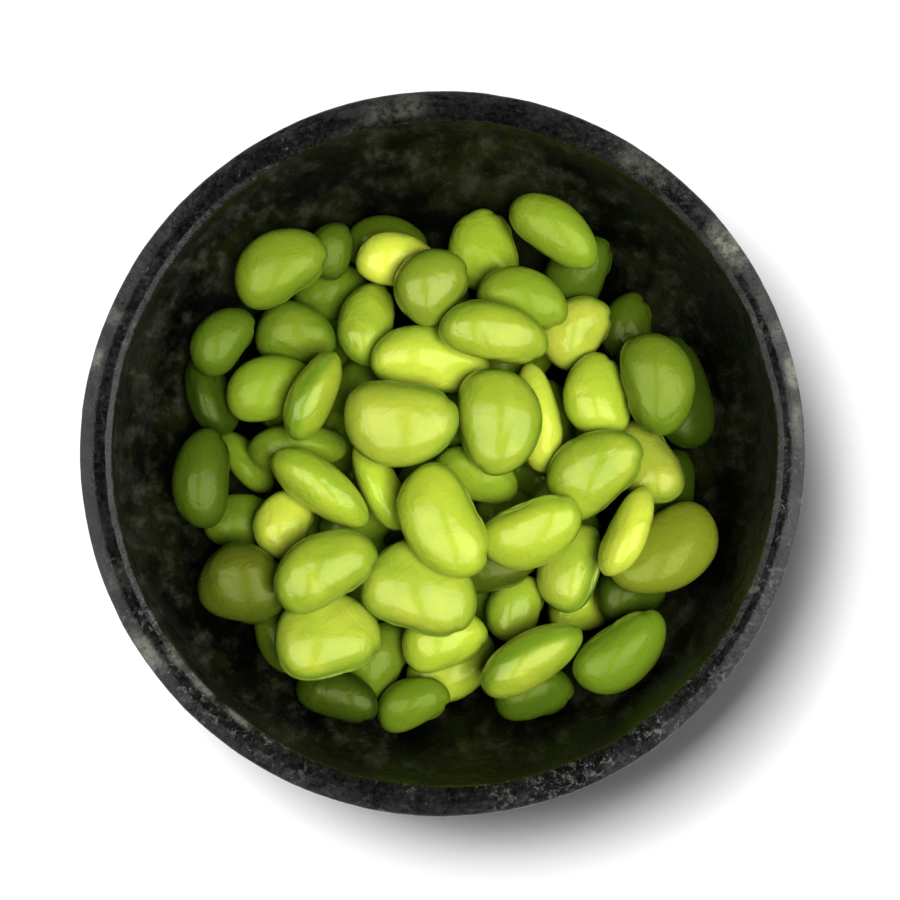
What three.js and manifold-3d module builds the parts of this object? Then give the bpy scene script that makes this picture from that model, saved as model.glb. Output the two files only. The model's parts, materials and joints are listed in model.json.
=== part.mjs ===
// A small stone bowl filled with shelled edamame beans. Millimetres, +Z up.
// The origin is the centre of the bowl's underside, and the Z axis is the bowl's own axis.
//
// The heap settles by itself: every bean starts above the bowl, over its place, and sinks in its turn
// until it rests on the stone or on the beans below, tilting and shifting as those push it.
// The beans of the heap's upper layers are separate solids. Those buried below are pressed into one.

import * as THREE from "three";
import { mergeVertices } from "three/addons/utils/BufferGeometryUtils.js";
import Module from "manifold-3d";

const wasm = await Module();
wasm.setup();

// ---- Driving dimensions -------------------------------------------------------------------------

const BOWL = {
  height: 46,
  outerRadius: 50.9,
  footRadius: 28,
  footChamfer: 1.2,
  mouthRadius: 46.2, // inside, just under the bevelled edge
  hollowDepth: 38, // from the rim's crest to the middle of the hollow
  hollowPower: 2.3, // 2 is an ellipse, more is squarer
  hollowShift: [0.3, 0], // the hollow is a little off the bowl's axis, so the rim's width varies
  bellyPower: 2.15,
  crestInner: 47.3, // the rim's crest is flat between these radii
  crestOuter: 48.7,
  widestDrop: 3.1, // the bowl is widest this far below the crest
  shoulderDrop: 2.1, // how far the rim's outer rounding reaches down
  bevelDrop: 0.9, // and the bevel on its inner edge
  turns: 72, // sides round the bowl
  steps: 9, // points down each wall
};

const BEAN = {
  taper: 0.1, // one end is narrower than the other by this share
  bend: 0.13, // the ends curve towards the hilum's side by this share of the width
  flatSide: 0.12, // the hilum's side bulges less by this share
  facets: 2, // how finely a separate bean is faceted
  buriedFacets: 1, // and a buried one
};

const HEAP = {
  clear: 0.3, // air between pieces that rest on each other
  press: 1.0, // how far the buried beans are pressed into each other
  start: 62, // height of the first bean's centre before it sinks
  spacing: 2.4, // how much higher each next bean starts
  sink: 0.35, // how far a bean sinks at a step
  steps: 900, // steps with the beans sinking
  easing: 60, // steps at the end in which they only make room for each other
  hold: 0.2, // share of the way back to its place that a bean is drawn at a step
  holdTurn: 0.12, // and back to the way it was laid
};

// The heap's upper beans, from the lowest to the highest: centre, size, heading of the long axis,
// how far it is rolled about that axis (0 lies on its broad side, 90 stands on edge), and its skin.
const UPPER_BEANS = [
  // x, y, long, wide, thick, heading, roll, skin
  [20.6, 26.2, 13.2, 9.6, 8.0, 70, 20, "deepleaf"],
  [27.2, 18.5, 10.8, 8.2, 7.4, 85, 10, "deep"],
  [34.6, 9.0, 17.0, 10.4, 8.0, 105, 25, "deep"],
  [-9.4, 30.4, 12.6, 8.6, 7.8, 4, 30, "deep"],
  [-9.4, -31.0, 12.6, 9.4, 7.8, 60, 20, "leaf"],
  [-14.6, -34.4, 13.0, 8.2, 7.2, -20, 20, "deep"],
  [-23.0, -26.6, 13.4, 9.2, 7.8, 105, 30, "deep"],
  [-5.0, -36.0, 11.4, 8.0, 6.8, 20, 10, "deep"],
  [13.2, -35.0, 12.0, 8.8, 7.6, 14, 20, "deepleaf"],
  [26.2, -20.2, 11.8, 8.6, 7.6, 20, 10, "deep"],
  [33.6, -5.2, 12.6, 9.0, 7.6, 80, 30, "deep"],
  [7.0, -16.4, 13.4, 9.4, 8.0, 12, 20, "olive"],
  [4.8, -2.6, 13.2, 9.0, 7.4, -26, 50, "leaf"],
  [21.6, -22.8, 10.0, 8.2, 7.4, 15, 10, "lime"],
  [5.9, 29.6, 12.6, 11.0, 8.2, 105, 0, "leaf"],
  [-15.8, 29.4, 8.8, 7.2, 6.6, 70, 30, "deepleaf"],
  [-20.8, 17.2, 12.4, 10.2, 8.2, 5, 5, "leaf"],
  [-34.0, 8.6, 13.0, 9.2, 6.6, 118, 70, "deep"],
  [-34.6, -3.6, 15.0, 9.2, 8.2, 88, 20, "deep"],
  [-28.4, -18.8, 13.4, 12.6, 8.8, -15, 10, "olive"],
  [-29.3, -1.8, 11.6, 8.8, 5.8, 120, 80, "leaf"],
  [-21.2, 1.6, 15.0, 9.4, 7.2, -2, 60, "leaf"],
  [0.8, -31.2, 14.4, 9.6, 7.4, 30, 190, "lime"],
  [31.4, -13.0, 17.4, 12.0, 9.0, 218, 10, "olive"],
  [12.6, -29.5, 17.0, 9.4, 7.8, 32, 60, "lime"],
  [-6.4, 27.4, 12.8, 8.8, 7.6, -12, 20, "yellow"],
  [19.2, 18.4, 12.0, 9.8, 8.2, 60, 10, "yellow"],
  [29.3, -2.0, 14.0, 9.4, 8.2, 110, 10, "yellow"],
  [19.0, -16.6, 13.6, 10.2, 8.4, 72, -25, "pale"],
  [26.2, -11.0, 14.0, 8.6, 5.8, 78, 108, "yellow"],
  [25.8, -28.6, 15.8, 10.2, 8.4, 38, 200, "deepleaf"],
  [10.6, -22.2, 10.6, 8.6, 7.4, 66, 20, "lime"],
  [0.2, -27.2, 12.8, 9.8, 8.0, 20, 10, "lime"],
  [-23.2, -10.3, 10.8, 8.8, 7.6, 68, 10, "yellow"],
  [-31.4, 15.8, 11.2, 8.6, 7.6, 52, 25, "deepleaf"],
  [30.0, 9.8, 15.2, 11.0, 8.4, -75, 5, "leaf"],
  [16.2, 31.9, 15.0, 8.8, 7.6, -37, 30, "leaf"],
  [-24.6, 9.8, 13.8, 10.2, 8.0, 10, 5, "leaf"],
  [-23.2, 26.7, 14.8, 10.8, 8.4, 32, 5, "leaf"],
  [-11.2, 18.4, 13.0, 9.0, 7.8, 80, 15, "lime"],
  [-1.3, 23.4, 11.6, 10.8, 8.2, 55, 0, "lime"],
  [11.8, 22.0, 13.8, 9.2, 7.6, -14, 20, "leaf"],
  [-9.2, -4.7, 14.6, 8.8, 6.2, 113, 78, "lime"],
  [14.6, 5.2, 16.4, 9.4, 6.6, 97, 108, "yellow"],
  [21.6, 8.1, 12.8, 10.4, 8.2, 98, 5, "lime"],
  [-18.6, 8.4, 14.0, 9.0, 6.8, 64, 78, "lime"],
  [-17.6, -5.0, 17.0, 9.6, 7.4, -33, 65, "lime"],
  [-16.3, -26.6, 15.8, 13.6, 9.0, 16, 0, "pale"],
  [-16.6, -16.8, 16.0, 10.6, 8.2, 32, 10, "lime"],
  [22.2, -3.2, 15.8, 11.6, 8.6, 38, 5, "lime"],
  [-1.9, 13.6, 17.6, 10.2, 8.4, -14, 15, "pale"],
  [7.2, 17.6, 16.4, 9.2, 7.6, -28, 25, "lime"],
  [-3.2, -19.8, 17.0, 13.8, 8.8, -20, 0, "pale"],
  [12.8, -10.6, 15.8, 10.6, 8.2, 28, 200, "lime"],
  [0.4, -9.4, 17.4, 12.0, 8.4, -60, 185, "lime"],
  [7.8, 4.6, 15.8, 12.8, 8.8, -82, 0, "lime"],
  [-5.3, 4.3, 16.6, 13.2, 9.0, -8, 185, "pale"],
];

// Single beans that show in the gaps between those, deeper down.
const DEEP_BEANS = [
  [-15.6, 22.2, 12.6, 9.2, 8.0, 40, 10],
  [-28.6, -10.0, 14.2, 9.6, 8.4, -8, 0],
  [-1.0, -24.0, 12.6, 9.0, 7.8, 10, 0],
  [-11.6, 10.8, 13.0, 9.6, 8.0, 60, 10],
  [12.4, -5.2, 13.4, 9.6, 8.2, 30, 20],
];

// The buried beans: rings of them, from the floor of the hollow up.
const BURIED_RINGS = [
  // ring radius, count
  [0, 1],
  [11, 5],
  [22, 9],
  [5, 2],
  [15, 7],
  [6, 1],
];
const BURIED_SIZE = { long: 14.2, wide: 10.2, thick: 8.4, vary: 0.7 };
const BURIED_STRAY = 0.4; // share of the spacing round a ring that a bean strays by
const BURIED_ROLL = 20; // the most that one is rolled, in degrees
const SEED = 23;

const COLOURS = {
  stone: 0x1b1c1c,
  deep: 0x3f5c12,
  deepleaf: 0x4f7a17,
  leaf: 0x86a624,
  olive: 0x7b8a24,
  lime: 0xaecb2c,
  pale: 0xc0d94a,
  yellow: 0xc6d22e,
};
const STONE_ROUGHNESS = 0.35;
const BEAN_ROUGHNESS = 0.4;

// ---- The bowl -----------------------------------------------------------------------------------

// The radius of a superellipse wall, a share of the way down from its widest place.
const wallRadius = (widest, share, power) => widest * Math.pow(1 - Math.pow(share, power), 1 / power);

function bowlProfile() {
  const { height, outerRadius, footRadius, footChamfer, mouthRadius } = BOWL;
  const points = [
    [0, 0],
    [footRadius - footChamfer, 0],
    [footRadius, footChamfer],
  ];
  // The belly follows a superellipse down from the widest place, as far as the foot's radius.
  const widestHeight = height - BOWL.widestDrop;
  const footShare = Math.pow(1 - Math.pow(footRadius / outerRadius, BOWL.bellyPower), 1 / BOWL.bellyPower);
  for (let i = BOWL.steps - 1; i >= 0; i--) {
    const share = (footShare * i) / BOWL.steps;
    const z = widestHeight - ((widestHeight - footChamfer) * i) / BOWL.steps;
    points.push([wallRadius(outerRadius, share, BOWL.bellyPower), z]);
  }
  // The rim: rounded outside, flat along its crest, bevelled inside.
  const shoulder = outerRadius - BOWL.crestOuter;
  for (const degrees of [0, 30, 60, 90]) {
    const a = THREE.MathUtils.degToRad(degrees);
    points.push([
      BOWL.crestOuter + shoulder * Math.cos(a),
      height - BOWL.shoulderDrop * (1 - Math.sin(a)),
    ]);
  }
  // The hollow with its bevelled edge, stepped by angle so that the floor and the wall get points alike.
  const hollow = [[BOWL.crestInner, height]];
  const depth = BOWL.hollowDepth - BOWL.bevelDrop;
  for (let i = 0; i <= BOWL.steps; i++) {
    const share = Math.sin((i / BOWL.steps) * (Math.PI / 2));
    const r = wallRadius(mouthRadius, share, BOWL.hollowPower);
    hollow.push([r, height - BOWL.bevelDrop - depth * share]);
  }
  const profile = [...points, ...hollow].map(([r, z]) => new THREE.Vector2(r, z));
  return { profile, outsideCount: points.length };
}

function bowl() {
  const { profile, outsideCount } = bowlProfile();
  const geometry = new THREE.LatheGeometry(profile, BOWL.turns);
  geometry.rotateX(Math.PI / 2);
  const position = geometry.getAttribute("position");
  for (let i = 0; i < position.count; i++) {
    if (i % profile.length < outsideCount) continue;
    position.setX(i, position.getX(i) + BOWL.hollowShift[0]);
    position.setY(i, position.getY(i) + BOWL.hollowShift[1]);
  }
  return geometry;
}

// ---- A bean's skin ------------------------------------------------------------------------------

// Turns a direction on the unit sphere into a point of a bean's skin. Long along X, hilum towards -Y.
function skinPoint(direction, { long, wide, thick }) {
  const { x, y, z } = direction;
  const girth = 1 - BEAN.taper * x;
  const side = y < 0 ? 1 - BEAN.flatSide * y * y : 1;
  return new THREE.Vector3(
    (long / 2) * x,
    (wide / 2) * (y * girth * side - BEAN.bend * (x * x - 1 / 3)),
    (thick / 2) * z * girth,
  );
}

const grown = ({ long, wide, thick }, by) => ({
  long: long + 2 * by,
  wide: wide + 2 * by,
  thick: thick + 2 * by,
});

function sphereOf(detail) {
  const sphere = new THREE.IcosahedronGeometry(1, detail);
  sphere.deleteAttribute("normal");
  sphere.deleteAttribute("uv");
  return mergeVertices(sphere);
}

function directionsOf(detail) {
  const position = sphereOf(detail).getAttribute("position");
  const directionAt = (_, i) => new THREE.Vector3().fromBufferAttribute(position, i);
  return Array.from({ length: position.count }, directionAt);
}

function beanGeometry(size, detail) {
  const geometry = sphereOf(detail);
  geometry.setFromPoints(directionsOf(detail).map((direction) => skinPoint(direction, size)));
  return geometry;
}

// ---- Settling -----------------------------------------------------------------------------------

const turned = (heading, roll) =>
  new THREE.Quaternion().setFromEuler(
    new THREE.Euler(THREE.MathUtils.degToRad(roll), 0, THREE.MathUtils.degToRad(heading), "ZYX"),
  );

const PROBES = directionsOf(BEAN.facets);

// A bean on its way down. Its probes are points on its skin, grown by half of the clearance.
class Settling {
  constructor(bean, index, buried) {
    this.bean = bean;
    this.buried = buried;
    this.position = new THREE.Vector3(bean.x, bean.y, HEAP.start + index * HEAP.spacing);
    this.quaternion = turned(bean.heading, bean.roll);
    this.laid = this.quaternion.clone();
    this.skin = grown(bean, HEAP.clear / 2);
    this.probes = PROBES.map((direction) => skinPoint(direction, this.skin));
    this.reach = Math.max(...this.probes.map((probe) => probe.length()));
    const { long, wide, thick } = bean;
    // A solid ellipsoid's inverse moments of inertia, for a mass of 1.
    this.ease = new THREE.Vector3(
      20 / (wide * wide + thick * thick),
      20 / (long * long + thick * thick),
      20 / (long * long + wide * wide),
    );
    this.update();
  }

  update() {
    this.back = this.quaternion.clone().conjugate();
    this.points = this.probes.map((p) => p.clone().applyQuaternion(this.quaternion).add(this.position));
  }

  // How deep a point lies under the skin, and the way out.
  depthAt(point) {
    const local = point.clone().sub(this.position).applyQuaternion(this.back);
    const x = local.x / (this.skin.long / 2);
    const girth = 1 - BEAN.taper * THREE.MathUtils.clamp(x, -1, 1);
    const y = (local.y / (this.skin.wide / 2) + BEAN.bend * (x * x - 1 / 3)) / girth;
    const z = local.z / ((this.skin.thick / 2) * girth);
    const length = Math.hypot(x, y, z);
    if (length >= 1) return null;
    const out = new THREE.Vector3(
      x / (this.skin.long / 2),
      y / ((this.skin.wide / 2) * girth),
      z / ((this.skin.thick / 2) * girth),
    );
    const steepness = out.length();
    const depth = (length * (1 - length)) / steepness;
    return { depth, out: out.divideScalar(steepness).applyQuaternion(this.quaternion) };
  }

  sink(by) {
    this.position.z -= by;
    this.position.x += HEAP.hold * (this.bean.x - this.position.x);
    this.position.y += HEAP.hold * (this.bean.y - this.position.y);
    this.quaternion.slerp(this.laid, HEAP.holdTurn);
    this.update();
  }

  // How readily a push at a point along a direction moves it.
  easeAt(point, direction) {
    const arm = point.clone().sub(this.position).cross(direction).applyQuaternion(this.back);
    return 1 + arm.clone().multiply(this.ease).dot(arm);
  }

  push(point, direction, amount) {
    const arm = point.clone().sub(this.position).cross(direction).applyQuaternion(this.back);
    const turn = arm.multiply(this.ease).applyQuaternion(this.quaternion).multiplyScalar(amount / 2);
    this.position.addScaledVector(direction, amount);
    const spin = new THREE.Quaternion(turn.x, turn.y, turn.z, 0).multiply(this.quaternion);
    this.quaternion.set(
      this.quaternion.x + spin.x,
      this.quaternion.y + spin.y,
      this.quaternion.z + spin.z,
      this.quaternion.w + spin.w,
    );
    this.quaternion.normalize();
    this.update();
  }
}

// How deep a point lies in the stone of the hollow, and the way out.
function depthInStone(point) {
  const depth = BOWL.hollowDepth - BOWL.bevelDrop;
  const p = BOWL.hollowPower;
  const x = point.x - BOWL.hollowShift[0];
  const y = point.y - BOWL.hollowShift[1];
  const radius = Math.hypot(x, y);
  const down = Math.max(0, BOWL.height - BOWL.bevelDrop - point.z) / depth;
  const across = radius / (BOWL.mouthRadius - HEAP.clear / 2);
  const value = Math.pow(across, p) + Math.pow(down, p);
  if (value <= 1) return null;
  const length = Math.pow(value, 1 / p);
  const perRadius = Math.pow(across, p - 1) / BOWL.mouthRadius;
  const out = new THREE.Vector3(
    (-perRadius * x) / radius,
    (-perRadius * y) / radius,
    Math.pow(down, p - 1) / depth,
  );
  const steepness = out.length();
  return { depth: ((length - 1) * Math.pow(length, p - 1)) / steepness, out: out.divideScalar(steepness) };
}

function deepest(points, depthAt) {
  let found = null;
  for (const point of points) {
    const hit = depthAt(point);
    if (hit && (!found || hit.depth > found.depth)) found = { ...hit, point: point.clone() };
  }
  return found;
}

function pushOutOfStone(bean) {
  const low = bean.position.z < BOWL.height + bean.reach;
  const hit = low && deepest(bean.points, depthInStone);
  if (hit) bean.push(hit.point, hit.out, hit.depth / bean.easeAt(hit.point, hit.out));
}

function pushApart(a, b) {
  if (a.position.distanceTo(b.position) > a.reach + b.reach) return;
  const allowed = a.buried && b.buried ? HEAP.press + HEAP.clear : 0;
  for (const [mover, other] of [[a, b], [b, a]]) {
    const near = mover.points.filter((point) => point.distanceTo(other.position) < other.reach);
    const hit = deepest(near, (point) => other.depthAt(point));
    if (!hit || hit.depth <= allowed) continue;
    const ease = mover.easeAt(hit.point, hit.out) + other.easeAt(hit.point, hit.out);
    const share = (hit.depth - allowed) / ease;
    mover.push(hit.point, hit.out, share);
    other.push(hit.point, hit.out, -share);
  }
}

// The beans sink together, at full speed for the first half of the steps and ever more slowly after that.
function settle(beans) {
  for (let step = 0; step < HEAP.steps + HEAP.easing; step++) {
    const speed = Math.min(1, (2 * (HEAP.steps - step)) / HEAP.steps);
    if (speed > 0) for (const bean of beans) bean.sink(HEAP.sink * speed);
    for (let i = 0; i < beans.length; i++) {
      pushOutOfStone(beans[i]);
      for (let j = 0; j < i; j++) pushApart(beans[i], beans[j]);
    }
  }
}

// A small seeded random number generator (mulberry32).
function randomFrom(seed) {
  let state = seed;
  return () => {
    state = (state + 0x6d2b79f5) | 0;
    let t = Math.imul(state ^ (state >>> 15), 1 | state);
    t = (t + Math.imul(t ^ (t >>> 7), 61 | t)) ^ t;
    return ((t ^ (t >>> 14)) >>> 0) / 4294967296;
  };
}

function buriedBeans() {
  const random = randomFrom(SEED);
  const vary = (size) => size + (2 * random() - 1) * BURIED_SIZE.vary;
  return BURIED_RINGS.flatMap(([radius, count]) =>
    Array.from({ length: count }, (_, i) => {
      const angle = ((i + BURIED_STRAY * random()) / count) * 2 * Math.PI;
      return {
        x: radius * Math.cos(angle),
        y: radius * Math.sin(angle),
        long: vary(BURIED_SIZE.long),
        wide: vary(BURIED_SIZE.wide),
        thick: vary(BURIED_SIZE.thick),
        heading: 360 * random(),
        roll: 2 * BURIED_ROLL * (random() - 0.5),
      };
    }),
  );
}

// ---- Solids -------------------------------------------------------------------------------------

function solidOf(geometry) {
  return new wasm.Manifold(
    new wasm.Mesh({
      numProp: 3,
      vertProperties: Float32Array.from(geometry.getAttribute("position").array),
      triVerts: Uint32Array.from(geometry.index.array),
    }),
  );
}

function geometryOf(solid) {
  const { vertProperties, triVerts } = solid.getMesh();
  return new THREE.BufferGeometry()
    .setAttribute("position", new THREE.BufferAttribute(vertProperties, 3))
    .setIndex(new THREE.BufferAttribute(triVerts, 1));
}

function fused(beans) {
  return geometryOf(
    beans
      .map(({ bean, quaternion, position }) => {
        const geometry = beanGeometry(bean, BEAN.buriedFacets);
        geometry.applyQuaternion(quaternion);
        geometry.translate(position.x, position.y, position.z);
        return solidOf(geometry);
      })
      .reduce((sum, solid) => sum.add(solid)),
  );
}

const group = new THREE.Group();

function add(name, geometry, colour, roughness) {
  const material = new THREE.MeshStandardMaterial({ color: COLOURS[colour], roughness, metalness: 0 });
  const mesh = new THREE.Mesh(geometry, material);
  mesh.name = name;
  group.add(mesh);
  return mesh;
}

function beanOf([x, y, long, wide, thick, heading, roll, skin]) {
  return { x, y, long, wide, thick, heading, roll, skin };
}

const upper = UPPER_BEANS.map(beanOf);
const buried = [...buriedBeans(), ...DEEP_BEANS.map(beanOf)];
const heap = [...buried, ...upper].map((bean, i) => new Settling(bean, i, i < buried.length));
settle(heap);

add("bowl", bowl(), "stone", STONE_ROUGHNESS);
add("buried_beans", fused(heap.filter((bean) => bean.buried)), "deep", BEAN_ROUGHNESS);
heap
  .filter((bean) => !bean.buried)
  .forEach(({ bean, quaternion, position }, i) => {
    const name = "bean_" + String(i + 1).padStart(2, "0");
    const mesh = add(name, beanGeometry(bean, BEAN.facets), bean.skin, BEAN_ROUGHNESS);
    mesh.quaternion.copy(quaternion);
    mesh.position.copy(position);
  });

export default group;
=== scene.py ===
"""A small stone bowl filled with shelled edamame beans: its looks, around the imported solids.

Metres and +Z up, as in the frame. Sizes below are in millimetres and are turned into metres where
they are used. Headings and tilts are in degrees, and colours are in linear light.
"""

import json
import math
import random

import bpy
import numpy as np
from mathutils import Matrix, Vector, noise


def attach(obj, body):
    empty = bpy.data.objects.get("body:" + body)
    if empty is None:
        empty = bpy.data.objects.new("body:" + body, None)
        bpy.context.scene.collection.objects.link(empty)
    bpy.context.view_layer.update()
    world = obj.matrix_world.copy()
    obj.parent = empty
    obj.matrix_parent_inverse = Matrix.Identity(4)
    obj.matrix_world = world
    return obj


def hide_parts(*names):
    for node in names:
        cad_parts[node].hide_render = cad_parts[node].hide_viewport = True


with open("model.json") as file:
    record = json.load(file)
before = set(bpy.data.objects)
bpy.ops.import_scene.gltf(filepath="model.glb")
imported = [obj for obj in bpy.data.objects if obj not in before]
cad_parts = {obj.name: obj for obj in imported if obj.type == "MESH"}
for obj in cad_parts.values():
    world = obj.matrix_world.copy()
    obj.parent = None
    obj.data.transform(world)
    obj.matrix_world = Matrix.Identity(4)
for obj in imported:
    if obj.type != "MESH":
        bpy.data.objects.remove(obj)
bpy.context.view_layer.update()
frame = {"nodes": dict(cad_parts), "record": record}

MM = 0.001

# ---- Sizes -------------------------------------------------------------------------------------

# The bowl's section: near the solid's, with a mouth 0.25 wider and a rim drawn more finely.
HEIGHT = 46.0
OUTER_RADIUS = 50.9
FOOT_RADIUS = 28.0
FOOT_CHAMFER = 1.2
MOUTH_RADIUS = 46.45
HOLLOW_DEPTH = 38.0
HOLLOW_POWER = 2.3
HOLLOW_SHIFT = (0.3, 0.0)
BELLY_POWER = 2.15
CREST_INNER = 47.4
CREST_OUTER = 48.6
WIDEST_DROP = 3.1
BEVEL_DROP = 0.9
BEVEL_SLOPE = 0.72  # how far the inner bevel drops before it turns down into the wall
BEVEL_RINGS = (0.06, 0.35, 0.65, 0.94)  # shares of the bevel, close to its edges to keep them crisp
CORNER_END = 43.6  # height at which the tight corner under the rim's outer facet starts
FACET = (50.75, 44.65)  # radius and height at which it turns into the facet
CORNER_PULL = (0.03, 0.18)  # how far inside the widest radius and under the facet it bends
FACET_CROWN = 1.2  # 1 would be a flat facet
MOUTH_WOBBLE = 0.35  # how far the hollow's edge strays from a true circle
WOBBLE_PARTS = ((0.7, 5), (0.3, 25))  # share and fineness of its slow and quick parts
WOBBLE_DEPTH = 12.0  # and how far down the wall it reaches

# Dents in the stone's skin, but not in its flat foot: depth and breadth.
DENTS = ((0.08, 7), (0.07, 1.6))
OUTER_DENTS = (0.15, 28)

# The wall's grey smears fade between these depths, to this share.
SMEAR_DEPTH = (14.0, 27.0)
DEEP_SMEAR = 0.15

# A bean's form, as in the solids.
TAPER = 0.10
BEND = 0.13
FLAT_SIDE = 0.12

# How finely the pieces are meshed.
BOWL_SIDES = 360
BEAN_SIDES = 96
BEAN_RINGS = 56
RINGS_TO_HILUM = 1.35  # 1 spaces the rings evenly, more draws them towards the hilum
HEAP_VOXEL = 0.6
HEAP_SMOOTHING = 16

BEAN_COUNT = 57
FLOOR_SIZE = 3.0  # half of its side, in metres

# The camera looks straight down from this far above the rim, and sees this width there.
CAMERA_ABOVE_RIM = 500.0
VIEW_WIDTH = 125.6
VIEW_CENTRE = (1.05, 0.52)
SENSOR = 36.0


# ---- Node helpers ------------------------------------------------------------------------------


def new_material(name):
    material = bpy.data.materials.new(name)
    material.use_nodes = True
    return material, material.node_tree, material.node_tree.nodes["Principled BSDF"]


def object_coordinates(tree):
    return tree.nodes.new("ShaderNodeTexCoord").outputs["Object"]


def stretched(tree, where, factors):
    node = tree.nodes.new("ShaderNodeVectorMath")
    node.operation = "MULTIPLY"
    tree.links.new(where, node.inputs[0])
    node.inputs[1].default_value = factors
    return node.outputs["Vector"]


def noise_texture(tree, where, size, detail=3.0, roughness=0.5, distortion=0.0):
    """Noise whose blotches are about size millimetres across."""
    node = tree.nodes.new("ShaderNodeTexNoise")
    node.inputs["Scale"].default_value = 1 / (size * MM)
    node.inputs["Detail"].default_value = detail
    node.inputs["Roughness"].default_value = roughness
    node.inputs["Distortion"].default_value = distortion
    tree.links.new(where, node.inputs["Vector"])
    return node.outputs["Fac"]


def ramp(tree, value, *stops):
    """Each stop is (position, colour)."""
    node = tree.nodes.new("ShaderNodeValToRGB")
    elements = node.color_ramp.elements
    while len(elements) < len(stops):
        elements.new(0.5)
    for element, (position, colour) in zip(elements, stops):
        element.position = position
        element.color = (*colour, 1)
    tree.links.new(value, node.inputs["Fac"])
    return node.outputs["Color"]


def levels(tree, value, low, high, to_low=0.0, to_high=1.0):
    """Stretches low..high of a value to to_low..to_high, and keeps it between those."""
    node = tree.nodes.new("ShaderNodeMapRange")
    node.interpolation_type = "SMOOTHSTEP"
    settings = zip(("From Min", "From Max", "To Min", "To Max"), (low, high, to_low, to_high))
    for socket, setting in settings:
        node.inputs[socket].default_value = setting
    tree.links.new(value, node.inputs["Value"])
    return node.outputs["Result"]


def math_node(tree, operation, a, b):
    """a and b are sockets or numbers."""
    node = tree.nodes.new("ShaderNodeMath")
    node.operation = operation
    for socket, source in zip(node.inputs, (a, b)):
        if isinstance(source, bpy.types.NodeSocket):
            tree.links.new(source, socket)
        else:
            socket.default_value = source
    return node.outputs["Value"]


def product(tree, first, *others):
    for other in others:
        first = math_node(tree, "MULTIPLY", first, other)
    return first


def mixed(tree, share, a, b):
    """Colour a, with colour b over it where share is 1."""
    node = tree.nodes.new("ShaderNodeMix")
    node.data_type = "RGBA"
    sockets = {socket.identifier: socket for socket in [*node.inputs, *node.outputs]}
    tree.links.new(share, sockets["Factor_Float"])
    for socket, source in ((sockets["A_Color"], a), (sockets["B_Color"], b)):
        if isinstance(source, bpy.types.NodeSocket):
            tree.links.new(source, socket)
        else:
            socket.default_value = (*source, 1)
    return sockets["Result_Color"]


def attribute(tree, name):
    node = tree.nodes.new("ShaderNodeAttribute")
    node.attribute_name = name
    return node.outputs["Fac"]


def bumps(tree, shader, *layers):
    """Each layer is (height, strength, distance in millimetres)."""
    normal = None
    for height, strength, distance in layers:
        node = tree.nodes.new("ShaderNodeBump")
        node.inputs["Strength"].default_value = strength
        node.inputs["Distance"].default_value = distance * MM
        tree.links.new(height, node.inputs["Height"])
        if normal:
            tree.links.new(normal, node.inputs["Normal"])
        normal = node.outputs["Normal"]
    tree.links.new(normal, shader.inputs["Normal"])


# ---- Materials ---------------------------------------------------------------------------------


STONE = {
    "black": (0.0010, 0.0010, 0.0010),
    "grain": (0.012, 0.012, 0.0115),
    "cloud": (0.028, 0.029, 0.029),
    "oiled": (0.0008, 0.0009, 0.0007),
    "oil": (0.010, 0.0115, 0.0030),
    "smear": (0.050, 0.051, 0.036),
    "worn": (0.21, 0.215, 0.165),
    "chip": (0.13, 0.135, 0.12),
    "speckle": (0.105, 0.108, 0.10),
}
STREAK_LENGTH = 5  # how many times longer than wide the streaks run down the wall
DULL_HOLLOW = 0.2  # how much rougher the hollow is
SMOOTH_BEVEL = 0.1  # and how much smoother the bevel


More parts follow.
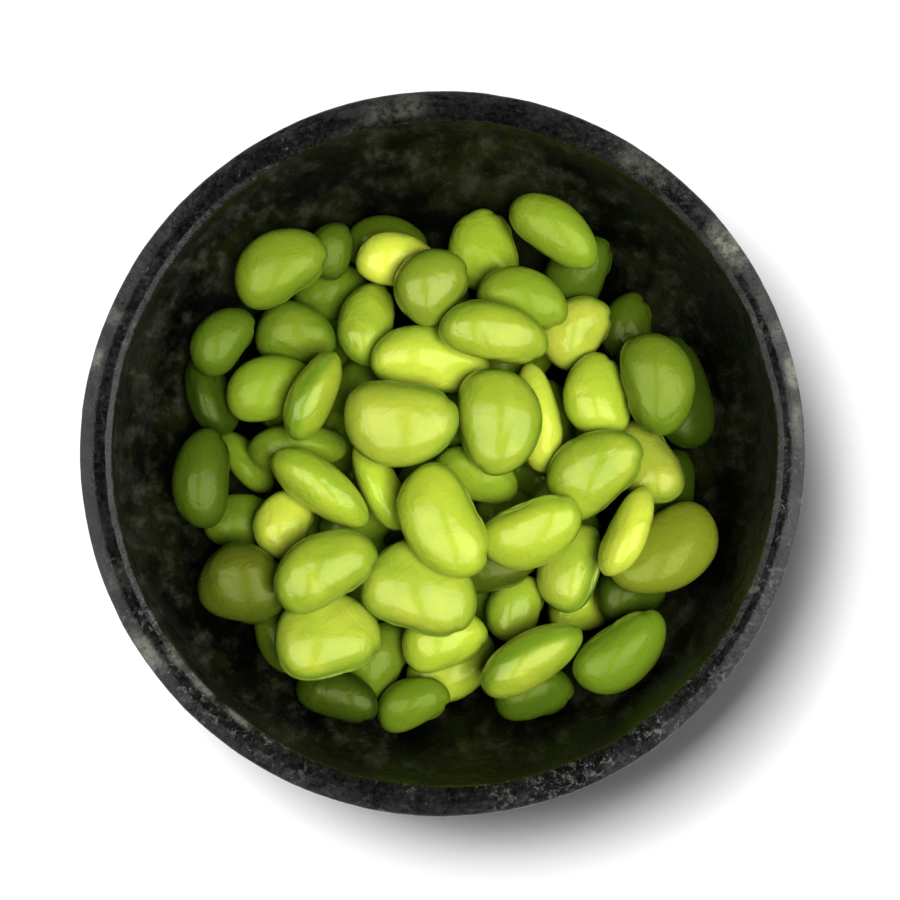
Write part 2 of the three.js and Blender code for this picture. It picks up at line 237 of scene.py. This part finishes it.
def stone_material():
    """Near-black stone: fine grain, cloudy grey mottling, pale worn places, an oily dark hollow."""
    material, tree, shader = new_material("black_stone")
    where = object_coordinates(tree)
    along_wall = stretched(tree, where, (1, 1, 1 / STREAK_LENGTH))
    clouds = noise_texture(tree, where, 5, detail=5, roughness=0.6, distortion=0.4)
    specks = noise_texture(tree, where, 0.9, detail=7, roughness=0.75, distortion=0.2)
    grain = noise_texture(tree, where, 0.35, detail=2)
    smudges = noise_texture(tree, where, 9, detail=5, roughness=0.6)
    streaks = noise_texture(tree, along_wall, 2.6, detail=5, roughness=0.6)
    dots = noise_texture(tree, where, 1.1, detail=6, roughness=0.75, distortion=0.6)
    hollow = attribute(tree, "hollow")

    # Outside and on the rim: black, with grains and grey clouds.
    dark = ramp(tree, specks, (0.38, STONE["black"]), (0.72, STONE["grain"]))
    # The grey clouds fade on the crest, and at the top and bottom of the rim as painted shade.
    cloudy = product(
        tree,
        levels(tree, clouds, 0.42, 0.68),
        levels(tree, specks, 0.34, 0.66),
        levels(tree, attribute(tree, "crest_and_painted_shade"), 0, 1, 1, 0.25),
    )
    mottled = mixed(tree, cloudy, dark, STONE["cloud"])

    # In the hollow: oily, with grey smears down the wall.
    oily = mixed(tree, levels(tree, smudges, 0.42, 0.68), STONE["oiled"], STONE["oil"])
    smeared = product(
        tree,
        levels(tree, streaks, 0.44, 0.72),
        levels(tree, smudges, 0.36, 0.60),
        attribute(tree, "smear"),
    )
    dusty = mixed(tree, smeared, oily, STONE["smear"])
    colour = mixed(tree, hollow, mottled, dusty)

    # Pale worn places, chips and speckles.
    worn = product(
        tree,
        attribute(tree, "worn"),
        product(tree, levels(tree, streaks, 0.30, 0.60), levels(tree, specks, 0.34, 0.54, 0.3, 1)),
    )
    colour = mixed(tree, worn, colour, STONE["worn"])
    chips = product(
        tree,
        levels(tree, specks, 0.60, 0.68),
        levels(tree, smudges, 0.45, 0.60),
        levels(tree, hollow, 0, 1, 0.8, 0.25),
    )
    colour = mixed(tree, chips, colour, STONE["chip"])
    speckles = product(
        tree,
        levels(tree, dots, 0.52, 0.62),
        levels(tree, streaks, 0.42, 0.56),
        attribute(tree, "speckled"),
    )
    colour = mixed(tree, speckles, colour, STONE["speckle"])
    tree.links.new(colour, shader.inputs["Base Color"])

    rough = math_node(
        tree,
        "ADD",
        levels(tree, specks, 0.40, 0.65, 0.20, 0.32),
        levels(tree, clouds, 0.40, 0.60, 0, 0.25),
    )
    rough = math_node(tree, "ADD", rough, product(tree, hollow, DULL_HOLLOW))
    smooth = product(tree, attribute(tree, "bevel"), SMOOTH_BEVEL)
    rough = math_node(tree, "SUBTRACT", rough, smooth)
    tree.links.new(rough, shader.inputs["Roughness"])
    shader.inputs["Specular IOR Level"].default_value = 0.5
    bumps(tree, shader, (clouds, 0.5, 1.0), (specks, 0.35, 0.25), (grain, 0.12, 0.04))
    return material


# Each skin's body colour. The darker kinds are partly darker beans and partly painted shade for
# beans low in the heap and near the wall, deep most of all.
SKINS = {
    "deep": (0.032, 0.054, 0.0030),
    "deepleaf": (0.064, 0.108, 0.0055),
    "leaf": (0.133, 0.194, 0.011),
    "olive": (0.088, 0.111, 0.007),
    "lime": (0.290, 0.377, 0.024),
    "pale": (0.340, 0.422, 0.032),
    "yellow": (0.380, 0.435, 0.038),
}
DULL_SKINS = ("deep", "deepleaf")
DARK_SKINS = ("deep", "deepleaf", "leaf", "olive")
SCAR_COLOUR = (0.46, 0.50, 0.11)  # of the pale hilum on a light skin

# The other colours of a skin, as factors on its body colour.
SHADE = (0.80, 0.90, 0.8)
TINT = (1.18, 1.10, 1.3)
# Painted shade round each bean's edge, darker and greener:
PAINTED_SHADE_EDGE = (0.46, 0.64, 0.5)
# Darker and lighter copies of a skin, partly the beans' own colour and partly painted shade and
# light.
DARKER_TONE_AND_SHADE = (0.42, 0.5, 0.5)
LIGHTER_TONE_AND_LIGHT = (2.05, 2.0, 1.9)
DEEP_LIGHTER_TONE_AND_LIGHT = (3.6, 3.4, 3.0)  # of the darkest skin
DARK_SCAR = (2.2, 2.0, 3.0)  # of the hilum on a dark skin


def toned(colour, factors):
    return tuple(min(1.0, part * factor) for part, factor in zip(colour, factors))


def bean_material(skin):
    """A cooked seed coat: smooth, a little translucent and clouded, with painted shade round its
    edge, darker and greener.
    """
    body, is_dark = SKINS[skin], skin in DARK_SKINS
    shade, tint = toned(body, SHADE), toned(body, TINT)
    lightest_tone_and_light = toned(body, DEEP_LIGHTER_TONE_AND_LIGHT if skin == "deep" else LIGHTER_TONE_AND_LIGHT)
    scar = toned(body, DARK_SCAR) if is_dark else SCAR_COLOUR
    material, tree, shader = new_material("skin_" + skin)
    where = object_coordinates(tree)
    clouds = noise_texture(tree, where, 6.5, detail=2, roughness=0.5, distortion=0.4)
    flecks = noise_texture(tree, where, 0.9, detail=3, roughness=0.6)
    pores = noise_texture(tree, where, 0.22, detail=1)
    creases = noise_texture(tree, where, 3.2, detail=4, roughness=0.55, distortion=1.2)

    colour = ramp(tree, clouds, (0.32, shade), (0.50, body), (0.70, tint))
    colour = mixed(tree, levels(tree, flecks, 0.56, 0.75, 0, 0.25), colour, tint)
    # Painted shade: the edge all round is darker and greener.
    edge = levels(tree, attribute(tree, "edge"), 0, 1, 0, 0.95)
    colour = mixed(tree, edge, colour, toned(body, PAINTED_SHADE_EDGE))
    # How much darker or lighter each bean is: partly its own colour, partly painted light and
    # shade.
    # The mix keeps its factor between 0 and 1, so only one of these two changes a bean.
    tone_and_painted_light = attribute(tree, "tone_and_painted_light")
    colour = mixed(tree, product(tree, tone_and_painted_light, -1.0), colour, toned(body, DARKER_TONE_AND_SHADE))
    colour = mixed(tree, tone_and_painted_light, colour, lightest_tone_and_light)
    # The pale hilum, and a light line along the seam that is partly real and partly a painted
    # highlight.
    colour = mixed(tree, attribute(tree, "pale"), colour, scar)
    tree.links.new(colour, shader.inputs["Base Color"])

    dull = 0.08 if skin in DULL_SKINS else 0.0
    rough = levels(tree, flecks, 0.3, 0.7, 0.27 + dull, 0.38 + dull)
    tree.links.new(rough, shader.inputs["Roughness"])
    finish = {
        "IOR": 1.34 if is_dark else 1.38,
        "Specular Tint": (0.85, 1, 0.12, 1) if is_dark else (1, 1, 0.15, 1),
        "Coat Weight": 0.22 if is_dark else 0.6,
        "Coat Roughness": 0.15,
        "Coat IOR": 1.38,
        "Subsurface Weight": 0.1,
        "Subsurface Radius": (0.8, 1.3, 0.3),
        "Subsurface Scale": 0.9 * MM,
    }
    for socket, setting in finish.items():
        shader.inputs[socket].default_value = setting
    bumps(tree, shader, (creases, 0.45, 0.5), (flecks, 0.28, 0.12), (pores, 0.06, 0.02))
    return material


# ---- The bowl ----------------------------------------------------------------------------------


def wall_radius(widest, share, power):
    """The radius of a superellipse wall, a share of the way down from its widest place."""
    return widest * (1 - share**power) ** (1 / power)


def bowl_profile():
    """The bowl's section from the middle of the underside to the middle of the hollow.

    Each point is (radius, height, how much of the hollow's shift it takes).
    """
    points = [(r, 0.0, 0) for r in np.linspace(0, FOOT_RADIUS - FOOT_CHAMFER, 8)]
    widest_height = HEIGHT - WIDEST_DROP
    foot_share = (1 - (FOOT_RADIUS / OUTER_RADIUS) ** BELLY_POWER) ** (1 / BELLY_POWER)
    for t in np.linspace(1, 0, 30):
        height = widest_height - (widest_height - FOOT_CHAMFER) * t
        points.append((wall_radius(OUTER_RADIUS, foot_share * t, BELLY_POWER), height, 0))
    # A tight corner, then a slightly crowned facet up to the crest.
    for t in np.linspace(0, 1, 7):
        bend = 2 * t * (1 - t)
        bend_radius, bend_height = OUTER_RADIUS - CORNER_PULL[0], FACET[1] - CORNER_PULL[1]
        radius = (1 - t) ** 2 * OUTER_RADIUS + bend * bend_radius + t**2 * FACET[0]
        height = (1 - t) ** 2 * CORNER_END + bend * bend_height + t**2 * FACET[1]
        points.append((radius, height, 0))
    for t in np.linspace(0.12, 1, 9):
        height = HEIGHT - (HEIGHT - FACET[1]) * (1 - t) ** FACET_CROWN
        points.append((FACET[0] + (CREST_OUTER - FACET[0]) * t, height, 0))
    for t in np.linspace(0.2, 1, 5):
        points.append((CREST_OUTER + (CREST_INNER - CREST_OUTER) * t, HEIGHT, t))
    for t in BEVEL_RINGS:
        radius = CREST_INNER + (MOUTH_RADIUS - CREST_INNER) * t
        points.append((radius, HEIGHT - BEVEL_SLOPE * t, 1))
    depth = HOLLOW_DEPTH - BEVEL_DROP
    for share in np.sin(np.linspace(0, math.pi / 2, 44)):
        radius = wall_radius(MOUTH_RADIUS, share, HOLLOW_POWER)
        points.append((radius, HEIGHT - BEVEL_DROP - depth * share, 1))
    return np.array(points)


# Pale worn places on the rim: heading, half of the length along the rim in degrees, radius,
# half width, strength.
WORN_PLACES = [
    (98, 5.0, 49.0, 1.8, 0.30),
    (55, 4.0, 48.9, 1.9, 0.35),
    (36, 3.8, 49.6, 1.8, 1.0),
    (26, 2.0, 49.6, 1.0, 0.10),
    (20, 1.5, 50.0, 1.0, 0.4),
    (13, 2.5, 50.2, 0.9, 0.8),
    (5, 3.0, 50.0, 0.8, 0.5),
    (157, 1.5, 50.0, 1.2, 0.5),
    (164.5, 1.5, 50.2, 0.8, 0.9),
    (201, 2.0, 48.9, 1.5, 0.2),
    (214, 3.5, 49.8, 1.3, 0.8),
    (217, 2.0, 46.9, 0.7, 0.5),
    (224, 3.0, 46.7, 0.5, 0.5),
    (232, 3.0, 46.6, 0.5, 0.6),
]
WORN_DEPTH = 2.5  # how far down from the crest they fade out
# Stretches of the rim speckled with small chips: heading, half of the length in degrees, strength.
SPECKLED_PLACES = [
    (40, 30, 0.35),
    (150, 25, 0.3),
    (223, 24, 0.9),
    (262, 12, 0.4),
    (303, 26, 0.9),
    (345, 22, 0.7),
]
# Stretches of the rim, at its top and bottom, with hardly any mottling, so darker there: painted
# shade. Heading and half of the length, in degrees.
PAINTED_SHADE_PLACES = [(76, 26), (267, 15)]


def turned_from(heading, place):
    """How far a heading is turned from a place's, from -180 to 180 degrees."""
    return (heading - place + 180) % 360 - 180


def worn_at(x, y, z):
    """How worn the stone is at a point: near its strength in the middle of a worn place."""
    heading = math.degrees(math.atan2(y, x))
    down = max(0.0, HEIGHT - z) / WORN_DEPTH
    most = 0.0
    for place, half_length, radius, half_width, strength in WORN_PLACES:
        along = turned_from(heading, place) / half_length
        across = (math.hypot(x, y) - radius) / half_width
        most = max(most, strength * math.exp(-(along**4) - across**4 - down**4))
    return most


def nearness(heading, place, half_length):
    """1 at a place on the rim, falling to 0 beyond half_length degrees from it."""
    return math.exp(-((turned_from(heading, place) / half_length) ** 4))


# Painted shade: how much of the rim's mottling is taken away at its top and bottom.
def painted_shade_at(heading):
    return max(nearness(heading, *place) for place in PAINTED_SHADE_PLACES)


def speckled_at(heading):
    return max(
        strength * nearness(heading, place, half_length)
        for place, half_length, strength in SPECKLED_PLACES
    )


def stone_marks(x, y, heading, radius, height, shift):
    """The attributes that the stone's material reads, at a point of the bowl."""
    is_bevel = shift == 1 and HEIGHT - BEVEL_DROP < height < HEIGHT
    is_rim = height > CORNER_END and (shift < 1 or height > HEIGHT - BEVEL_DROP)
    is_crest = CREST_INNER <= radius <= CREST_OUTER
    return {
        "worn": worn_at(x, y, height),
        "hollow": float(shift == 1 and height < HEIGHT - BEVEL_DROP),
        # Less mottling on the crest, and painted shade at the rim's top and bottom.
        "crest_and_painted_shade": 1.0 if is_crest else painted_shade_at(heading),
        "bevel": float(is_bevel),
        "speckled": speckled_at(heading) if is_rim else 0.0,
        "smear": float(np.interp(HEIGHT - height, SMEAR_DEPTH, (1, DEEP_SMEAR))),
    }


def dent_at(place, shift):
    if place.z < FOOT_CHAMFER:
        return 0.0
    depth, breadth = OUTER_DENTS
    outer = depth * (1 - shift) * abs(noise.noise(place / breadth))
    return -sum(depth * abs(noise.noise(place / breadth)) for depth, breadth in DENTS) - outer


def make_bowl():
    profile = bowl_profile()
    radius, height, shift = profile.T
    along_r, along_z = np.gradient(radius), np.gradient(height)
    length = np.hypot(along_r, along_z)
    out_r, out_z = along_z / length, -along_r / length
    points, marks, ring_count = [], [], len(profile)
    for i in range(ring_count):
        is_pole = radius[i] < 1e-6
        stray = MOUTH_WOBBLE * shift[i] * max(0.0, 1 - (HEIGHT - height[i]) / WOBBLE_DEPTH)
        for j in range(1 if is_pole else BOWL_SIDES):
            a = 2 * math.pi * j / BOWL_SIDES
            around = Vector((math.cos(a), math.sin(a), 0))
            wobble = sum(share * noise.noise(around * fine) for share, fine in WOBBLE_PARTS)
            reach = radius[i] + stray * wobble
            x = reach * math.cos(a) + HOLLOW_SHIFT[0] * shift[i]
            y = reach * math.sin(a) + HOLLOW_SHIFT[1] * shift[i]
            dent = dent_at(Vector((x, y, height[i])), shift[i])
            points.append(
                (
                    (x + out_r[i] * math.cos(a) * dent) * MM,
                    (y + out_r[i] * math.sin(a) * dent) * MM,
                    (height[i] + out_z[i] * dent) * MM,
                )
            )
            marks.append(stone_marks(x, y, math.degrees(a), radius[i], height[i], shift[i]))
    faces = []
    starts = [0] + [1 + BOWL_SIDES * k for k in range(ring_count - 2)]
    last = len(points) - 1
    for j in range(BOWL_SIDES):
        k = (j + 1) % BOWL_SIDES
        faces.append((0, starts[1] + k, starts[1] + j))
        for a, b in zip(starts[1:-1], starts[2:]):
            faces.append((a + j, a + k, b + k, b + j))
        faces.append((starts[-1] + j, starts[-1] + k, last))
    attributes = {key: [mark[key] for mark in marks] for key in marks[0]}
    return new_piece("stone_bowl", points, faces, attributes)


# ---- The beans ---------------------------------------------------------------------------------


def new_piece(name, points, faces, attributes):
    mesh = bpy.data.meshes.new(name)
    mesh.from_pydata([tuple(p) for p in points], [], faces)
    mesh.polygons.foreach_set("use_smooth", [True] * len(mesh.polygons))
    for key, values in attributes.items():
        mesh.attributes.new(key, "FLOAT", "POINT").data.foreach_set("value", values)
    piece = bpy.data.objects.new(name, mesh)
    bpy.context.scene.collection.objects.link(piece)
    return piece


def skin_points(directions, long, wide, thick):
    """Points of a bean's skin for directions on the unit sphere. Long along X, hilum towards -Y."""
    x, y, z = directions.T
    girth = 1 - TAPER * x
    side = np.where(y < 0, 1 - FLAT_SIDE * y * y, 1)
    return np.stack(
        [
            long / 2 * x,
            wide / 2 * (y * girth * side - BEND * (x * x - 1 / 3)),
            thick / 2 * z * girth,
        ],
        axis=1,
    )


def even_directions(count):
    """Directions spread evenly over the unit sphere."""
    k = np.arange(count) + 0.5
    y = 1 - 2 * k / count
    a = math.pi * (1 + 5**0.5) * k
    r = np.sqrt(1 - y * y)
    return np.stack([r * np.cos(a), y, r * np.sin(a)], axis=1)


# A bean of size 1, whose centre and spread give those of any size.
UNIT_SKIN = skin_points(even_directions(20000), 1, 1, 1)
UNIT_CENTRE = UNIT_SKIN.mean(0)
UNIT_SPREAD = UNIT_SKIN.var(0)


def read_bean(node):
    """The middle, axes and size of a bean, in millimetres, from the corners of its solid."""
    corners = np.array([v.co for v in node.data.vertices]) / MM
    corners = np.unique(np.round(corners, 4), axis=0)
    middle = corners.mean(0)
    spread, axes = np.linalg.eigh(np.cov((corners - middle).T, bias=True))
    spread, axes = spread[::-1], axes[:, ::-1].copy()
    x, y, z = ((corners - middle) @ axes).T
    if (x * z * z).mean() > 0:
        axes[:, 0] *= -1
    if (x * x * y).mean() > 0:
        axes[:, 1] *= -1
    axes[:, 2] = np.cross(axes[:, 0], axes[:, 1])
    size = np.sqrt(spread / UNIT_SPREAD)
    return middle - axes @ (size * UNIT_CENTRE), axes, size


def bean_directions():
    """Directions in rings round Y, closer together near the hilum at -Y, and their faces."""
    steps = (np.arange(1, BEAN_RINGS) / BEAN_RINGS) ** RINGS_TO_HILUM * math.pi
    around = 2 * math.pi * np.arange(BEAN_SIDES) / BEAN_SIDES
    directions = [(0.0, -1.0, 0.0)]
    for t in steps:
        for a in around:
            directions.append((math.sin(t) * math.cos(a), -math.cos(t), math.sin(t) * math.sin(a)))
    directions.append((0.0, 1.0, 0.0))
    last = len(directions) - 1
    faces = []
    for j in range(BEAN_SIDES):
        k = (j + 1) % BEAN_SIDES
        faces.append((0, 1 + j, 1 + k))
        for ring in range(BEAN_RINGS - 2):
            a, b = 1 + ring * BEAN_SIDES, 1 + (ring + 1) * BEAN_SIDES
            faces.append((a + j, b + j, b + k, a + k))
        a = 1 + (BEAN_RINGS - 2) * BEAN_SIDES
        faces.append((a + j, last, a + k))
    return np.array(directions), faces


DIRECTIONS, BEAN_FACES = bean_directions()

# A bean's relief. Places along it, such as start and end, run from -1 to 1.
HILUM = {"half_length": 1.6, "half_width": 0.34, "groove": 0.20, "lip": 0.10}
HILUM_GROOVE_REACH = 0.7  # in shares of the hilum
HILUM_LIP = (1.25, 0.45)  # where its lips are, and how wide
RADICLE = {"start": 0.15, "end": 0.74, "height": 0.28, "half_width": 0.9}
NOTCH = {"depth": 0.25, "gap": 0.06, "length": 0.07, "half_width": 2.0}  # at the radicle's tip
SEAM = {"height": 0.09, "half_width": 0.35}
SHOULDERS = 0.08
FLAT_TOP = 0.12
UNEVEN = {"waves": 7, "depth": 0.13, "fineness": 2.0}
CREASES = {"count": 4, "depth": 0.06, "half_width": 0.6, "stray": 2, "edge": 0.45, "fade": 0.3}
# How wide the painted shade round each bean's edge spreads.
PAINTED_SHADE_EDGE_WIDTH = 0.42
PROUD = 0.12  # makes up for a part of what the unevenness takes away


def bean_relief(local, directions, own):
    """How far the skin stands out at each point, in millimetres, how pale it is there, and how much
    painted shade darkens its edge.
    """
    x, y, z = directions.T
    lower = np.clip(-y, 0, 1)
    mm_x, mm_z = local[:, 0], local[:, 2]
    # Hilum: a slit with lips in the middle of the -Y side.
    reach = np.hypot(mm_x / HILUM["half_length"], mm_z / HILUM["half_width"])
    near = (y < -0.3).astype(float)
    groove = np.exp(-((reach / HILUM_GROOVE_REACH) ** 4)) * near
    lip = np.exp(-(((reach - HILUM_LIP[0]) / HILUM_LIP[1]) ** 2)) * near
    relief = HILUM["lip"] * lip - HILUM["groove"] * groove
    # The radicle's ridge runs from the hilum towards the narrow end, up to a notch.
    along = (x - RADICLE["start"]) / (RADICLE["end"] - RADICLE["start"])
    body = np.clip(4 * along * (1 - along), 0, 1) * np.clip(lower * 3, 0, 1)
    width = RADICLE["half_width"] * (1.1 - 0.5 * np.clip(along, 0, 1))
    relief += RADICLE["height"] * body * np.exp(-((mm_z / width) ** 2))
    past_tip = (x - RADICLE["end"] - NOTCH["gap"]) / NOTCH["length"]
    notch = np.exp(-(past_tip**2)) * np.clip(lower * 2, 0, 1)
    relief -= NOTCH["depth"] * notch * np.exp(-((mm_z / NOTCH["half_width"]) ** 2))
    # The seam runs all along the lower edge and round both ends.
    seam = np.exp(-((mm_z / SEAM["half_width"]) ** 2))
    seam = seam * np.clip((lower + 0.25 * (abs(x) > 0.6)) * 2, 0, 1)
    relief += SEAM["height"] * seam
    # Fuller shoulders and flatter broad sides than an ellipsoid's.
    relief += SHOULDERS * 4 * x * x * (1 - x * x) - FLAT_TOP * z * z
    # Gentle unevenness and a few shallow creases of its own.
    for _ in range(UNEVEN["waves"]):
        wave = np.array([own.gauss(0, 1) for _ in range(3)]) * UNEVEN["fineness"]
        start = own.uniform(0, 2 * math.pi)
        relief -= UNEVEN["depth"] / 3 * (1 + np.sin(directions @ wave + start))
    for _ in range(CREASES["count"]):
        across = Vector([own.gauss(0, 1) for _ in range(3)]).normalized()
        middle = Vector([own.gauss(0, 1) for _ in range(3)]).cross(across).normalized()
        away = local @ np.array(across) + own.uniform(-CREASES["stray"], CREASES["stray"])
        fade = np.clip((directions @ np.array(middle) - CREASES["edge"]) / CREASES["fade"], 0, 1)
        relief -= CREASES["depth"] * fade * np.exp(-((away / CREASES["half_width"]) ** 2))
    # The hilum is pale. The seam's light line is partly real and partly a painted highlight on its
    # ridge.
    pale = np.clip(0.8 * groove + 0.25 * lip + 0.15 * seam, 0, 1)
    # The edge all round, between the two broad sides, is painted darker and greener: painted shade.
    edge = np.exp(-((z / PAINTED_SHADE_EDGE_WIDTH) ** 2)) * (1 - pale)
    return relief + PROUD, {"pale": pale, "edge": edge}


# How much darker (below 0) or lighter the skins of some beans are than the rest of their kind:
# partly their own colour, partly painted light and shade.
TONES_AND_PAINTED_LIGHT = {
    -0.6: (3, 11, 12, 41),
    -0.3: (1, 5, 20, 28),
    0.25: (2, 19, 21, 22, 33, 34, 35, 39, 45, 47, 51, 54, 55),
    0.5: (4, 7, 13, 26, 30, 37, 38, 42, 43, 44),
    0.9: (8, 15, 24, 31),
}
TONE_AND_LIGHT_OF = {number: tone_and_painted_light for tone_and_painted_light, numbers in TONES_AND_PAINTED_LIGHT.items() for number in numbers}
# The buried beans' lightening changes from one of these to the other, over lumps of this size; even
# at its most, their darkest skin stays darker than most beans above: painted shade.
HEAP_TONE = (0.55, 1.0)
HEAP_LUMP = 8


def make_bean(number, node):
    middle, axes, size = read_bean(node)
    own = random.Random(number)
    local = skin_points(DIRECTIONS, *size)
    outward = DIRECTIONS / (size / 2)
    outward /= np.linalg.norm(outward, axis=1)[:, None]
    relief, shades = bean_relief(local, DIRECTIONS, own)
    # Partly its own colour, partly painted light and shade.
    shades["tone_and_painted_light"] = np.full(len(DIRECTIONS), TONE_AND_LIGHT_OF.get(number, 0.0))
    local += outward * relief[:, None]
    points = (middle + local @ axes.T) * MM
    return new_piece(f"seed_{number:02d}", points, BEAN_FACES, shades)


def make_heap(node):
    """The buried beans as one soft-edged mesh."""
    piece = bpy.data.objects.new("heap_below", node.data.copy())
    bpy.context.scene.collection.objects.link(piece)
    remesh = piece.modifiers.new("even", "REMESH")
    remesh.mode = "VOXEL"
    remesh.voxel_size = HEAP_VOXEL * MM
    soften = piece.modifiers.new("soften", "SMOOTH")
    soften.factor = 0.5
    soften.iterations = HEAP_SMOOTHING
    shown = piece.evaluated_get(bpy.context.evaluated_depsgraph_get())
    mesh = bpy.data.meshes.new_from_object(shown)
    piece.modifiers.clear()
    piece.data = mesh
    mesh.materials.clear()
    lumps = [noise.noise(vertex.co / (HEAP_LUMP * MM)) for vertex in mesh.vertices]
    tones = np.interp(lumps, (-0.2, 0.2), HEAP_TONE)
    mesh.attributes.new("tone_and_painted_light", "FLOAT", "POINT").data.foreach_set("value", tones)
    mesh.polygons.foreach_set("use_smooth", [True] * len(mesh.polygons))
    return piece


# ---- Stage, light and camera -------------------------------------------------------------------


def make_floor():
    corners = [(x * FLOOR_SIZE, y * FLOOR_SIZE, 0) for x, y in ((-1, -1), (1, -1), (1, 1), (-1, 1))]
    mesh = bpy.data.meshes.new("floor")
    mesh.from_pydata(corners, [], [(0, 1, 2, 3)])
    floor = bpy.data.objects.new("floor", mesh)
    bpy.context.scene.collection.objects.link(floor)
    material, _, shader = new_material("white_floor")
    shader.inputs["Base Color"].default_value = (0.95, 0.95, 0.95, 1)
    shader.inputs["Roughness"].default_value = 0.9
    mesh.materials.append(material)
    return floor


def lamp_at(name, width, height, radiance):
    """A rectangular light, to be placed. Its height is along its own Y."""
    light = bpy.data.lights.new(name, "AREA")
    light.shape = "RECTANGLE"
    light.size = width
    light.size_y = height
    light.energy = radiance * 4 * width * height
    lamp = bpy.data.objects.new(name, light)
    bpy.context.scene.collection.objects.link(lamp)
    lamp.visible_camera = False
    return lamp


def softbox(name, heading, tilt, distance, width, height, radiance):
    """A light aimed at the bowl's mouth, from a heading and a tilt from straight above."""
    lamp = lamp_at(name, width, height, radiance)
    a, t = math.radians(heading), math.radians(tilt)
    back = Vector((math.sin(t) * math.cos(a), math.sin(t) * math.sin(a), math.cos(t)))
    lamp.location = Vector((0, 0, HEIGHT * MM)) + back * distance
    lamp.rotation_mode = "QUATERNION"
    lamp.rotation_quaternion = back.to_track_quat("Z", "Y")
    return lamp


def level_panel(name, x, y, z, radiance):
    """A light that faces straight down, over a range of x and a range of y."""
    lamp = lamp_at(name, x[1] - x[0], y[1] - y[0], radiance)
    lamp.location = (sum(x) / 2, sum(y) / 2, z)
    return lamp


def shine_only_on(lamp, things):
    lit = bpy.data.collections.new("lit_by_" + lamp.name)
    for thing in things:
        lit.objects.link(thing)
    lamp.light_linking.receiver_collection = lit


# Sizes and places of the lights are in metres.
KEY = {"heading": -28, "tilt": 15, "distance": 1.5, "width": 0.65, "height": 0.65}
KEY_RADIANCE = 22.5
PANEL_Y, PANEL_Z = (-0.95, 0.22), 0.85
PANELS = {"left_panel": ((-1.25, -0.09), 4.0), "right_panel": ((0.10, 1.7), 4.2)}  # x, radiance
LOW = {"tilt": 70, "distance": 0.9, "width": 1.2, "height": 0.40}
LOWS = {"left_low": (186, 2.0), "right_low": (-4, 2.8)}  # heading, radiance
FLOOR_LIGHT = {"heading": 135, "tilt": 15, "distance": 1.5, "width": 0.40, "height": 0.40}
FLOOR_RADIANCE = 42
FLOOR_FILL_SPAN, FLOOR_FILL_Z, FLOOR_FILL_RADIANCE = (-1.5, 1.5), 1.5, 0.22
WORLD_STRENGTH = 0.008


def make_lights(bowl, beans, floor):
    """The bowl and beans have a key light from nearly overhead.

    The beans' skins reflect two wide panels, and the bowl's rim two low side lights. The floor has
    lights of its own, from the other side than the key.
    """
    key = softbox("key", **KEY, radiance=KEY_RADIANCE)
    key.visible_glossy = False
    shine_only_on(key, [bowl, *beans])
    for name, (x, radiance) in PANELS.items():
        panel = level_panel(name, x, PANEL_Y, PANEL_Z, radiance)
        panel.visible_diffuse = False
        shine_only_on(panel, beans)
    for name, (heading, radiance) in LOWS.items():
        low = softbox(name, heading, **LOW, radiance=radiance)
        low.visible_diffuse = False
        shine_only_on(low, [bowl])
    floor_light = softbox("floor_light", **FLOOR_LIGHT, radiance=FLOOR_RADIANCE)
    span = FLOOR_FILL_SPAN
    floor_fill = level_panel("floor_fill", span, span, FLOOR_FILL_Z, FLOOR_FILL_RADIANCE)
    for lamp in (floor_light, floor_fill):
        lamp.visible_glossy = False
        shine_only_on(lamp, [floor])
    world = bpy.data.worlds.new("studio")
    bpy.context.scene.world = world
    world.use_nodes = True
    background = world.node_tree.nodes["Background"]
    background.inputs["Color"].default_value = (1, 1, 1, 1)
    background.inputs["Strength"].default_value = WORLD_STRENGTH


def make_camera():
    data = bpy.data.cameras.new("camera")
    data.sensor_width = SENSOR
    data.lens = SENSOR * CAMERA_ABOVE_RIM / VIEW_WIDTH
    camera = bpy.data.objects.new("camera", data)
    bpy.context.scene.collection.objects.link(camera)
    x, y = VIEW_CENTRE
    camera.location = (x * MM, y * MM, (HEIGHT + CAMERA_ABOVE_RIM) * MM)
    bpy.context.scene.camera = camera


# ---- All of it ---------------------------------------------------------------------------------


def dress(piece, material, node):
    piece.data.materials.append(material)
    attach(piece, "root")
    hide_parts(node)
    pieces.append(piece)


pieces = []
make_camera()
slots = {row["node"]: row["material_slot"] for row in frame["record"]["subparts"]}
dress(make_bowl(), stone_material(), "bowl")
skins = {skin: bean_material(skin) for skin in SKINS}
# The buried beans wear the darkest skin, partly painted shade, lightened in lumps.
heap = make_heap(frame["nodes"]["buried_beans"])
dress(heap, skins["deep"], "buried_beans")
for number in range(1, BEAN_COUNT + 1):
    name = f"bean_{number:02d}"
    slot = slots[name]
    dress(make_bean(number, frame["nodes"][name]), skins[slot.removeprefix("bean_")], name)

make_lights(pieces[0], pieces[1:], make_floor())
bpy.context.scene.view_settings.view_transform = "Standard"
